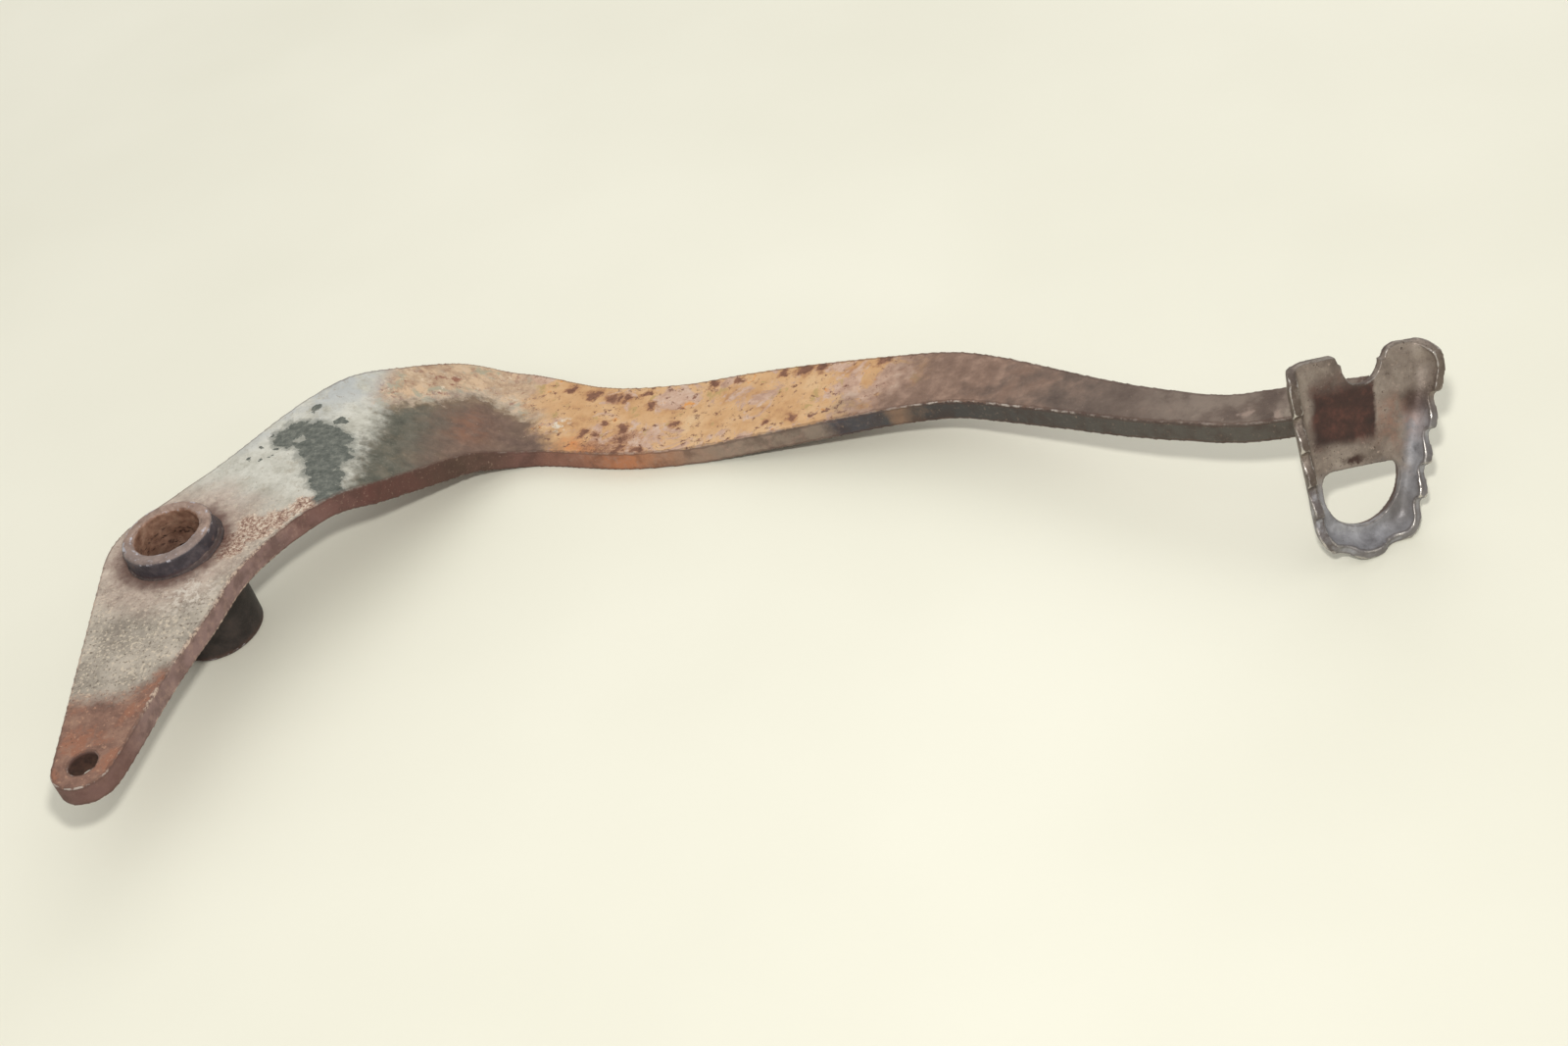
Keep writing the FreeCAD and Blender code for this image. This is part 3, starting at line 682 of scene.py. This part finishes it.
def pad_material():
    """Pressed steel: brown-grey face, blue-grey rubbed foot with painted sheen, dark heat marks, painted
    shade in the left wall's fold, polished teeth with painted highlights.
    """
    tree = Tree("pad_polished_steel")
    here = tree.attribute("pad_place", "Vector")
    push = tree.vector("SUBTRACT", tree.noise(4.0, 5.0, 0.6, colour=True), (0.5,) * 3)
    here = tree.vector("ADD", here, tree.vector("MULTIPLY", push, (3.0,) * 3))
    across, up, out = tree.split(here)
    blotch = tree.noise(5.0, 7.0, 0.6)
    grain = tree.noise(0.5, 3.0, 0.7)
    brushed = tree.noise(1.2, 5.0, 0.7, place=tree.vector("MULTIPLY", here, (2.5, 0.35, 1.0)))

    colour = tree.mottled([(100, 88, 80), (132, 119, 109), (158, 146, 135)], 6.0)
    colour = tree.mix(tree.patches(0.55, 0.68, 1.2, 6.0, 0.75), colour, linear(162, 145, 134))
    colour = tree.mix(tree.patches(0.60, 0.68, 0.8, 4.0, 0.7), colour, linear(74, 60, 54))
    # Blue-grey rubbed steel on the foot and the right wall, partly a painted sheen
    blue = tree.mottled([(112, 110, 113), (148, 147, 151), (178, 177, 182)], 5.0)
    blue = tree.mix(tree.patches(0.60, 0.70, 0.9, 5.0, 0.75), blue, linear(100, 92, 90))
    low = tree.step(tree.plus(up, tree.times(blotch, 6.0)), 9.0, 1.0)
    right_wall_sheen = tree.both(tree.step(across, 10.0, 13.5), tree.step(up, 20.0, 12.0))
    colour = tree.mix(tree.either(low, right_wall_sheen), colour, blue)
    warm = tree.both(tree.near(here, (9, 14, 0), 3.0, 9.0), tree.step(blotch, 0.35, 0.6))
    colour = tree.mix(tree.times(warm, 0.7), colour, linear(150, 114, 98))

    dull = tree.times(tree.near(here, (9, -6, 0), 1.0, 9.0), 0.7)
    colour = tree.mix(dull, colour, tree.mottled([(92, 86, 82), (122, 116, 112)], 3.0))

    seam = tree.both(tree.step(across, -14.2, -11.4), tree.step(across, 4.6, 3.2),
                     tree.step(up, 9.0, 12.4), tree.step(up, 30.0, 22.0))
    colour = tree.mix(seam, colour, tree.mottled([(42, 25, 20), (60, 35, 28), (92, 54, 44)], 4.0))
    wall_spot = tree.times(tree.near(here, (14.0, 18.2, 1), 0.8, 4.8), 0.85)
    hole_line = tree.both(tree.near(here, (-2, 6.3, 0), 1.0, 5.0), tree.step(up, 5.2, 5.8),
                          tree.step(up, 7.8, 6.6), tree.step(blotch, 0.46, 0.58))
    colour = tree.mix(tree.either(wall_spot, hole_line), colour, linear(64, 44, 38))
    back = tree.mottled([(66, 54, 50), (92, 76, 70), (118, 98, 88)], 5.0)
    colour = tree.mix(tree.step(out, -0.6, -1.6), colour, back)

    edge = tree.attribute("edge")
    rim = tree.step(tree.plus(edge, tree.times(out, 0.03)), 0.06, 0.16)
    colour = tree.mix(tree.times(rim, 0.5), colour, linear(82, 70, 60))
    # Painted shade in the fold of the left wall, between the teeth
    leaning = tree.plus(across, tree.times(up, 0.17))
    left_wall_fold_shade = tree.both(tree.step(leaning, -11.4, -12.4), tree.patches(0.36, 0.56, 2.4, 5.0, 0.7))
    colour = tree.mix(tree.times(left_wall_fold_shade, 0.6), colour, linear(72, 58, 50))
    # Rubbed, polished edges and teeth, made brighter by painted highlights
    rub_and_glint = tree.step(tree.plus(edge, tree.times(grain, 0.10)), 0.15, 0.24)
    teeth = tree.step(out, 2.0, 3.4)
    bright = tree.both(rub_and_glint, tree.plus(tree.times(teeth, 0.6), 0.4),
                       tree.patches(0.38, 0.54, 3.4, 4.0, 0.6))
    colour = tree.mix(bright, colour, linear(196, 190, 184))
    rough = tree.mix(bright, tree.mix(brushed, 0.34, 0.56), 0.26)
    metal = tree.mix(bright, tree.mix(seam, 0.45, 0.15), 0.95)
    bumped = tree.bump(grain, 0.04, tree.bump(brushed, 0.07, tree.bump(blotch, 0.18)))
    return tree.finish(colour, rough, metal, bumped)


def weld_material():
    """Dark weld metal with rust in its ripples."""
    tree = Tree("weld_oxide")
    blotch = tree.noise(2.6, 7.0, 0.65)
    grain = tree.noise(0.5, 3.0, 0.7)
    colour = tree.mottled([(46, 38, 37), (72, 60, 58), (96, 80, 76)], 2.6)
    edge = tree.attribute("edge")
    colour = tree.mix(tree.step(edge, -0.01, -0.07), colour, linear(76, 58, 54))
    shine = tree.both(tree.step(edge, 0.10, 0.20), tree.step(blotch, 0.50, 0.62))
    colour = tree.mix(tree.times(shine, 0.45), colour, linear(140, 124, 114))
    rough = tree.mix(shine, 0.66, 0.42)
    metal = tree.mix(shine, 0.3, 0.8)
    return tree.finish(colour, rough, metal, tree.bump(grain, 0.06, tree.bump(blotch, 0.2)))


def floor_material():
    """Plain pale floor, with the faintest change of tone."""
    tree = Tree("floor_pale")
    tone = tree.noise(160.0, 3.0, 0.5)
    colour = tree.ramp(tone, 0.3, 0.7, [(0.3, linear(227, 225, 209)), (0.7, linear(234, 232, 217))])
    return tree.finish(colour, 0.6, 0.0, tree.bump(tree.noise(3.0, 4.0, 0.6), 0.05))


# ---------------------------------------------------------------- pieces

def plate_height(place, normal):
    """Rust scale, pits and nicks in the plate, deepest on the ochre stretch and round the boss."""
    rusty = max(smooth(place.x, 78, 96) * smooth(place.x, 205, 175),
                smooth(math.hypot(place.x, place.y), 34, 16),
                smooth(place.y, -46, -58))
    broad = fractal(place, 22.0, 2, 1.7) * 0.05
    scale = fractal(place, 3.2, 4, 5.1)
    pits = min(0.0, fractal(place, 1.9, 3, 9.4) + 0.25) * 0.28
    flat = abs(normal.z)
    nicks = min(0.0, fractal(place, 4.5, 3, 14.2) + 0.55) * 0.16 if 0.25 < flat < 0.9 else 0.0
    on_face = smooth(flat, 0.8, 0.97)
    return broad + rusty * on_face * (scale * 0.09 + pits) + nicks - 0.05


def make_arm(material):
    arm = worn(copy_of("arm_plate", "arm_body"), voxel=0.5, rounds=3)
    relief(arm, plate_height)
    mark_edges(arm, rounds=8)
    arm.data.materials.append(material)
    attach(arm, "root")
    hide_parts("arm_plate")


def tube_height(place, normal):
    """Scaly bore, dinged rims, a tube wall that is never quite smooth."""
    radius = math.hypot(place.x, place.y)
    inside = smooth(radius, BORE_RADIUS + 1.2, BORE_RADIUS + 0.4)
    scale = fractal(place, 2.2, 4, 3.3)
    dings = min(0.0, fractal(place, 3.4, 3, 8.8) + 0.3) * 0.45
    at_rim = smooth(place.z, TUBE_TOP - 2.0, TUBE_TOP - 0.6) + smooth(place.z, 2.0, 0.6)
    return fractal(place, 6.0, 3, 2.2) * 0.05 + inside * (scale * 0.16 - 0.05) + at_rim * dings - 0.03


def make_tube(material):
    tube = worn(copy_of("pivot_tube", "tube_body"), voxel=0.42, rounds=3)
    relief(tube, tube_height)
    mark_edges(tube, rounds=6)
    tube.data.materials.append(material)
    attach(tube, "root")
    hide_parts("pivot_tube")


def rounded_outline(corners, arc_steps, line_steps):
    """Points round a polygon whose corners, given as (x, y, radius), are arcs."""
    spots = [Vector((x, y)) for x, y, _ in corners]
    arcs = []
    for i, spot in enumerate(spots):
        into = (spot - spots[i - 1]).normalized()
        out = (spots[(i + 1) % len(spots)] - spot).normalized()
        half = into.angle(out) / 2
        radius = corners[i][2]
        middle = spot + (out - into).normalized() * (radius / math.cos(half))
        start = spot - into * (radius * math.tan(half)) - middle
        turn = half * 2 if into.cross(out) > 0 else -half * 2
        arcs.append([middle + Matrix.Rotation(turn * k / arc_steps, 2) @ start
                     for k in range(arc_steps + 1)])
    points = []
    for i, arc in enumerate(arcs):
        following = arcs[(i + 1) % len(arcs)][0]
        points += arc
        points += [arc[-1].lerp(following, k / line_steps) for k in range(1, line_steps)]
    return points


def tray_outline(half, taper, foot, bow, radii, drop, steps):
    """The pad's outline at its floor or its rim, anticlockwise from the left foot corner."""
    foot_left, foot_middle, right, left = radii
    low = half + taper * foot
    top_right = PAD_TOP_RIGHT - drop
    top_left = PAD_TOP_LEFT - drop
    return rounded_outline([
        (-low, foot, foot_left), (0, foot - bow, foot_middle), (low, foot, foot_left),
        (half + taper * top_right, top_right, right), (-half - taper * top_left, top_left, left),
    ], *steps)


def tooth_gap(across, up):
    """The share of the wall that is missing at a rim point: 0 on a tooth, most in a gap."""
    on_foot = up < RIM_FOOT + 3.0 and abs(across) < RIM_HALF - 4.5
    gaps, at = (FOOT_GAPS, across) if on_foot else (SIDE_GAPS, up)
    above, below, depth = FOOT_GAP if on_foot else SIDE_GAP
    shares = [smooth(at - gap, above, 0.3) if at > gap else smooth(gap - at, below, 0.3) for gap in gaps]
    return depth * max(shares)


def dished_sheet():
    """The pad's front face as a fan of rows from the middle to the rim: points and faces."""
    steps = (14, 64)
    floor = tray_outline(FLOOR_HALF, FLOOR_TAPER, FLOOR_FOOT, FLOOR_BOW, (3.5, 14.0, 4.0, 3.5), 3.0, steps)
    rim = tray_outline(RIM_HALF, RIM_TAPER, RIM_FOOT, RIM_BOW, (6.0, 12.0, 6.5, 4.5), 0.0, steps)
    middle = Vector((0.0, 0.0))
    flat_rows, wall_rows = 12, 18
    points = [Vector((0, 0, 0))]
    for inner, outer in zip(floor, rim):
        top = PAD_TOP_LEFT + (PAD_TOP_RIGHT - PAD_TOP_LEFT) * (outer.x / RIM_HALF + 1.4) / 2.8
        wall = smooth(outer.y, top - 0.2, top - 3.6)
        full_turn = math.radians(SIDE_TURN + (FOOT_TURN - SIDE_TURN) * smooth(outer.y, -8.0, -12.5))
        reach = full_turn * (1 - tooth_gap(outer.x, outer.y) * wall)
        for row in range(1, flat_rows + 1):
            spot = middle.lerp(inner, row / flat_rows)
            points.append(Vector((spot.x, spot.y, 0)))
        for row in range(1, wall_rows + 1):
            turn = reach * row / wall_rows
            part = math.sin(turn) / math.sin(full_turn)
            rise = RIM_HEIGHT * (1 - math.cos(turn)) / (1 - math.cos(full_turn))
            spot = inner.lerp(outer, part)
            points.append(Vector((spot.x, spot.y, rise * wall)))
    rows = flat_rows + wall_rows
    count = len(floor)
    faces = []
    for i in range(count):
        here, there = 1 + i * rows, 1 + (i + 1) % count * rows
        faces.append((0, here, there))
        faces += [(here + r, here + r + 1, there + r + 1, there + r) for r in range(rows - 1)]
    return points, faces


def prism(name, outline, reach):
    """A closed prism along the pad's out axis, used as a cutter."""
    count = len(outline)
    points = [Vector((p.x, p.y, side * reach)) for side in (-1, 1) for p in outline]
    faces = [tuple(range(count))[::-1], tuple(range(count, 2 * count))]
    faces += [(i, (i + 1) % count, count + (i + 1) % count, count + i) for i in range(count)]
    matrix = pad_matrix()
    return new_piece(name, [matrix @ p for p in points], faces)


def notch_outline():
    """The notch: round floor, sides leaning outwards, rounded where they meet the top edge."""
    centre = Vector((NOTCH_ACROSS, NOTCH_FLOOR + NOTCH_RADIUS))
    outline = [centre + Vector((math.cos(a), math.sin(a))) * NOTCH_RADIUS
               for a in (math.radians(180 + 180 * k / 24) for k in range(25))]
    above = PAD_TOP_RIGHT + 4
    for side, top, radius in ((1, PAD_TOP_RIGHT - 0.6, 2.8), (-1, PAD_TOP_LEFT + 0.6, 2.0)):
        flare = Vector((NOTCH_ACROSS + side * (NOTCH_MOUTH + radius), top - radius))
        arc = [flare + Vector((-side * math.cos(a), math.sin(a))) * radius
               for a in (math.radians(90 * k / 8) for k in range(9))]
        arc.append(Vector((arc[-1].x, above)))
        outline += arc if side > 0 else arc[::-1]
    return outline


def hole_outline():
    """The D-shaped hole: round below, straight on top with small corners."""
    centre = Vector((0, HOLE_CENTRE))
    lower = [centre + Vector((math.cos(a), math.sin(a))) * HOLE_RADIUS
             for a in (math.radians(180 + 180 * k / 40) for k in range(41))]
    side = HOLE_RADIUS - HOLE_CORNER
    corners = []
    for sign, start in ((1, 0), (-1, 90)):
        middle = Vector((sign * side, HOLE_TOP - HOLE_CORNER))
        angles = [math.radians(start + 90 * k / 8) for k in range(9)]
        corners += [middle + Vector((math.cos(a), math.sin(a))) * HOLE_CORNER for a in angles]
    return lower + corners


def cut_away(piece, cutter):
    """Cut the cutter's shape out of the piece, and drop the cutter."""
    cut = piece.modifiers.new("cut", "BOOLEAN")
    cut.operation = "DIFFERENCE"
    cut.solver = "EXACT"
    cut.object = cutter
    applied(piece)
    bpy.data.objects.remove(cutter)


def pad_height(place, normal):
    """Slight hand-sized dents in the pressed sheet and wear on its edges."""
    return (fractal(place, 9.0, 3, 4.4) * 0.10 + min(0.0, fractal(place, 2.6, 3, 6.1) + 0.4) * 0.18
            - 0.03)


def make_pad(material):
    points, faces = dished_sheet()
    matrix = pad_matrix()
    pad = new_piece("pad_tray", [matrix @ p for p in points], faces)
    thick = pad.modifiers.new("thick", "SOLIDIFY")
    thick.thickness = SHEET_THICK * MM
    thick.offset = -1.0
    thick.use_even_offset = True
    applied(pad)
    cut_away(pad, prism("notch_cutter", notch_outline(), CUT_REACH))
    cut_away(pad, prism("hole_cutter", hole_outline(), CUT_REACH))
    worn(pad, voxel=0.36, rounds=4)
    relief(pad, pad_height)
    mark_edges(pad, rounds=6)
    back = matrix.inverted()
    layer = pad.data.attributes.new("pad_place", "FLOAT_VECTOR", "POINT")
    own = np.array([back @ Vector(p) for p in places(pad.data)], dtype=np.float32)
    layer.data.foreach_set("vector", own.ravel())
    pad.data.materials.append(material)
    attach(pad, "root")
    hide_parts("foot_pad")


def all_round(angle):
    return 1.0


def on_the_right(angle):
    """Most of the crust is on the side towards the arm."""
    return 0.35 + 0.65 * smooth(math.cos(angle - math.radians(25)), -0.3, 0.7)


def ring_bead(name, level, leg, drop, beads, seed, share):
    """A hand-laid fillet round the tube, up or down from a level: ripples, uneven in width."""
    turns, ribs, sunk = 360, 12, 0.6
    points = []
    for i in range(turns):
        angle = 2 * math.pi * i / turns
        way = Vector((math.cos(angle), math.sin(angle), 0))
        phase = (angle * beads / (2 * math.pi) + 0.15 * fractal(way * 10, 4.0, 2, seed)) % 1.0
        ripple = 1.0 - 0.16 * (1 - phase) ** 2
        size = leg * ripple * (1 + 0.14 * fractal(way * 10, 5.0, 2, seed + 3)) * share(angle)
        for k in range(ribs):
            turn = math.pi / 2 * k / (ribs - 1)
            belly = 0.80 + 0.20 * math.cos(4 * turn) if k not in (0, ribs - 1) else 1.0
            out = size * math.cos(turn) * belly
            down = size * math.sin(turn) * belly
            points.append((way * (TUBE_RADIUS + out) + Vector((0, 0, level + drop * down))) * MM)
        for out, rise in ((-sunk, size), (-sunk, -sunk), (size, -sunk)):
            points.append((way * (TUBE_RADIUS + out) + Vector((0, 0, level + drop * rise))) * MM)
    rows = ribs + 3
    faces = []
    for i in range(turns):
        here, there = i * rows, (i + 1) % turns * rows
        for k in range(rows):
            after = (k + 1) % rows
            ring = (here + k, here + after, there + after, there + k)
            faces.append(ring if drop > 0 else ring[::-1])
    return new_piece(name, points, faces)


def bead_height(place, normal):
    return fractal(place, 1.4, 3, 7.7) * 0.10


def make_pivot_weld(material):
    bead = ring_bead("weld_ring", PLATE_UNDER, leg=3.7, drop=-1, beads=26, seed=2.0, share=all_round)
    worn(bead, voxel=0.36, rounds=1)
    relief(bead, bead_height)
    mark_edges(bead, rounds=6)
    bead.data.materials.append(material)
    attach(bead, "root")
    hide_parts("pivot_weld")


def make_collar(material):
    """The low crust of rust and weld in the corner between the plate's top and the tube."""
    collar = ring_bead("seam_crust", PLATE_TOP, leg=1.3, drop=1, beads=17, seed=6.0, share=on_the_right)
    worn(collar, voxel=0.3, rounds=1)
    relief(collar, bead_height)
    mark_edges(collar, rounds=6)
    collar.data.materials.append(material)
    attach(collar, "root")


def pad_bead_height(place, normal):
    """Ripples across the run of the bead behind the pad, and lumps."""
    ripple = math.sin((place.x - 0.45 * place.y + 0.3 * place.z) * 2 * math.pi / 1.9)
    return ripple * 0.13 + fractal(place, 1.8, 3, 12.5) * 0.16


def make_pad_weld(material):
    bead = worn(copy_of("pad_weld", "weld_pad"), voxel=0.32, rounds=3)
    relief(bead, pad_bead_height)
    mark_edges(bead, rounds=6)
    bead.data.materials.append(material)
    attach(bead, "root")
    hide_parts("pad_weld")


# ---------------------------------------------------------------- stage

def make_floor():
    ways = [(-1, -1), (1, -1), (1, 1), (-1, 1)]
    corners = [(x * FLOOR_REACH, y * FLOOR_REACH, FLOOR) for x, y in ways]
    floor = new_piece("floor", corners, [(0, 1, 2, 3)])
    floor.data.materials.append(floor_material())


def make_camera():
    """The camera stands where the picture was taken: above the lever's near side, looking down."""
    data = bpy.data.cameras.new("camera")
    data.sensor_width = SENSOR_WIDTH
    data.lens = LENS
    data.clip_start = 0.01
    camera = bpy.data.objects.new("camera", data)
    back = CAMERA_BACK.normalized()
    right = (CAMERA_RIGHT - back * CAMERA_RIGHT.dot(back)).normalized()
    turn = Matrix((right, back.cross(right), back)).transposed()
    camera.matrix_world = Matrix.Translation(CAMERA_PLACE) @ turn.to_4x4()
    bpy.context.collection.objects.link(camera)
    bpy.context.scene.camera = camera


def disk_light(name, place, width, power):
    """A round area light, aimed at the middle of the lever."""
    data = bpy.data.lights.new(name, "AREA")
    data.shape = "DISK"
    data.size = width
    data.energy = power
    light = bpy.data.objects.new(name, data)
    light.location = place
    light.rotation_euler = (LOOKED_AT - place).to_track_quat("-Z", "Y").to_euler()
    bpy.context.collection.objects.link(light)
    return data


def make_key():
    """A small light just above the lens; its light does not thin out with distance."""
    data = disk_light("key", KEY_PLACE, KEY_WIDTH, KEY_POWER)
    data.color = WARM_WHITE
    data.use_nodes = True
    nodes = data.node_tree.nodes
    falloff = nodes.new("ShaderNodeLightFalloff")
    falloff.inputs["Strength"].default_value = 1.0
    data.node_tree.links.new(falloff.outputs["Constant"], nodes["Emission"].inputs["Strength"])


def make_fill():
    """A broad weak light from the far side, for soft sheen on the bare steel."""
    disk_light("fill", FILL_PLACE, FILL_WIDTH, FILL_POWER)


def make_surround():
    world = bpy.data.worlds.new("surround")
    world.use_nodes = True
    background = world.node_tree.nodes["Background"]
    background.inputs["Color"].default_value = (*WARM_WHITE, 1.0)
    background.inputs["Strength"].default_value = SURROUND
    bpy.context.scene.world = world
    bpy.context.scene.view_settings.view_transform = "Standard"


make_camera()
make_floor()
make_key()
make_fill()
make_surround()
weld = weld_material()
make_arm(arm_material())
make_tube(tube_material())
make_pad(pad_material())
make_pivot_weld(weld)
make_collar(weld)
make_pad_weld(weld)
